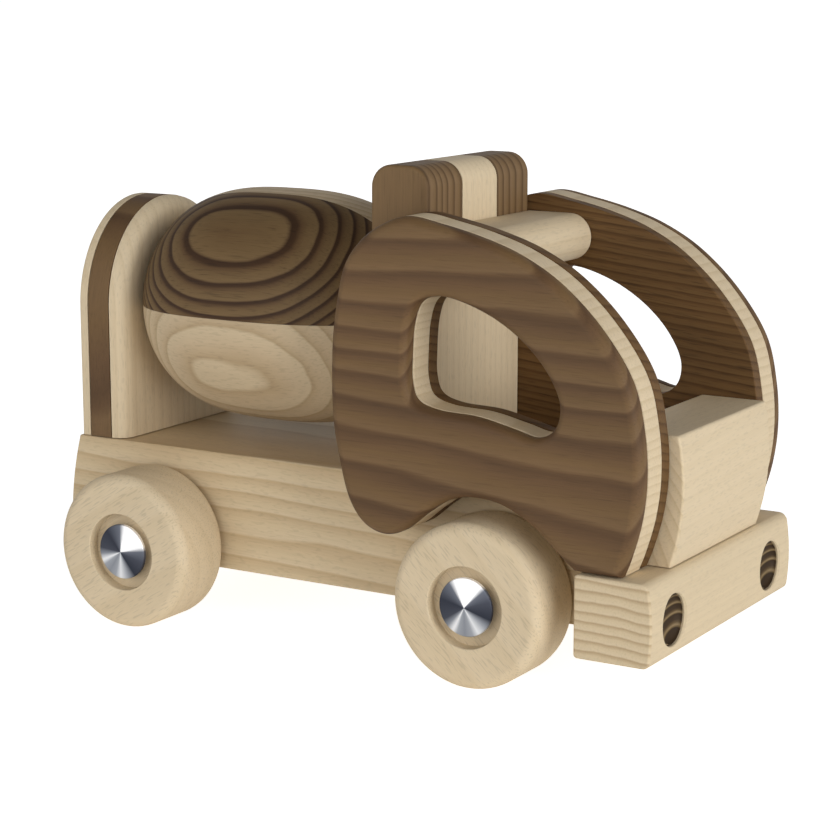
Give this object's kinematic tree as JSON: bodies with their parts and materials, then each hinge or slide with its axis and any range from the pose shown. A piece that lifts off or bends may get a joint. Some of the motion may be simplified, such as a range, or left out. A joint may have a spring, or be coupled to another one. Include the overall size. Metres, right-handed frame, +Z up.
{
  "type": "wooden push-along mixer truck",
  "caption": "Wooden push-along mixer lorry with a turning barrel drum, arched cab sides with windows, and free-rolling wheels.",
  "frame": {"origin": "middle of the truck's overall length and width, on the floor under its wheels", "axes": "+X to the front of the truck, +Y to its left side, +Z up"},
  "size_m": [0.1964, 0.0964, 0.1323],
  "materials": {
    "beech": "fine-sanded and oiled beech, pale, with short dark flecks",
    "heat_treated_ash": "heat-treated ash, brown, with wide wavy darker growth bands, oiled",
    "steel": "plain drawn steel rod",
    "spun_cap": "bright nickel-plated steel cap with turning marks round its centre"
  },
  "bodies": {
    "root": {"chassis_board": "beech", "upright_back_layer": "beech", "upright_middle_layer": "heat_treated_ash", "upright_front_layer": "beech", "upright_dowel_near": "beech", "upright_dowel_far": "beech", "drum_pin": "beech", "near_side_inner": "heat_treated_ash", "near_side_middle": "beech", "near_side_outer": "heat_treated_ash", "far_side_inner": "heat_treated_ash", "far_side_middle": "beech", "far_side_outer": "heat_treated_ash", "cab_back_wall": "beech", "wall_dowel_near": "beech", "wall_dowel_far": "beech", "top_block_near": "heat_treated_ash", "top_block_middle": "beech", "top_block_far": "heat_treated_ash", "roof_beam": "beech", "hood_block": "beech", "bumper": "beech", "bumper_dowel_near": "beech", "bumper_dowel_far": "beech", "headlamp_plug_near": "heat_treated_ash", "headlamp_plug_far": "heat_treated_ash", "rear_axle": "steel", "front_axle": "steel", "rear_axle_cap_near": "spun_cap", "rear_axle_cap_far": "spun_cap", "front_axle_cap_near": "spun_cap", "front_axle_cap_far": "spun_cap"},
    "drum": {"drum_quarter_upper_near": "heat_treated_ash", "drum_quarter_lower_near": "beech", "drum_quarter_lower_far": "heat_treated_ash", "drum_quarter_upper_far": "beech"},
    "wheel_rear_near": {"rear_wheel_near": "beech"},
    "wheel_rear_far": {"rear_wheel_far": "beech"},
    "wheel_front_near": {"front_wheel_near": "beech"},
    "wheel_front_far": {"front_wheel_far": "beech"}
  },
  "joints": [
    {"name": "drum_spin", "type": "hinge", "parent": "root", "child": "drum", "pos_m": [-0.04015, 0, 0.0881], "axis": [1, 0, 0], "continuous": true},
    {"name": "rear_near_roll", "type": "hinge", "parent": "root", "child": "wheel_rear_near", "pos_m": [-0.06435, -0.03845, 0.022], "axis": [0, 1, 0], "continuous": true},
    {"name": "rear_far_roll", "type": "hinge", "parent": "root", "child": "wheel_rear_far", "pos_m": [-0.06435, 0.03845, 0.022], "axis": [0, 1, 0], "continuous": true},
    {"name": "front_near_roll", "type": "hinge", "parent": "root", "child": "wheel_front_near", "pos_m": [0.04675, -0.03845, 0.022], "axis": [0, 1, 0], "continuous": true},
    {"name": "front_far_roll", "type": "hinge", "parent": "root", "child": "wheel_front_far", "pos_m": [0.04675, 0.03845, 0.022], "axis": [0, 1, 0], "continuous": true}
  ]
}
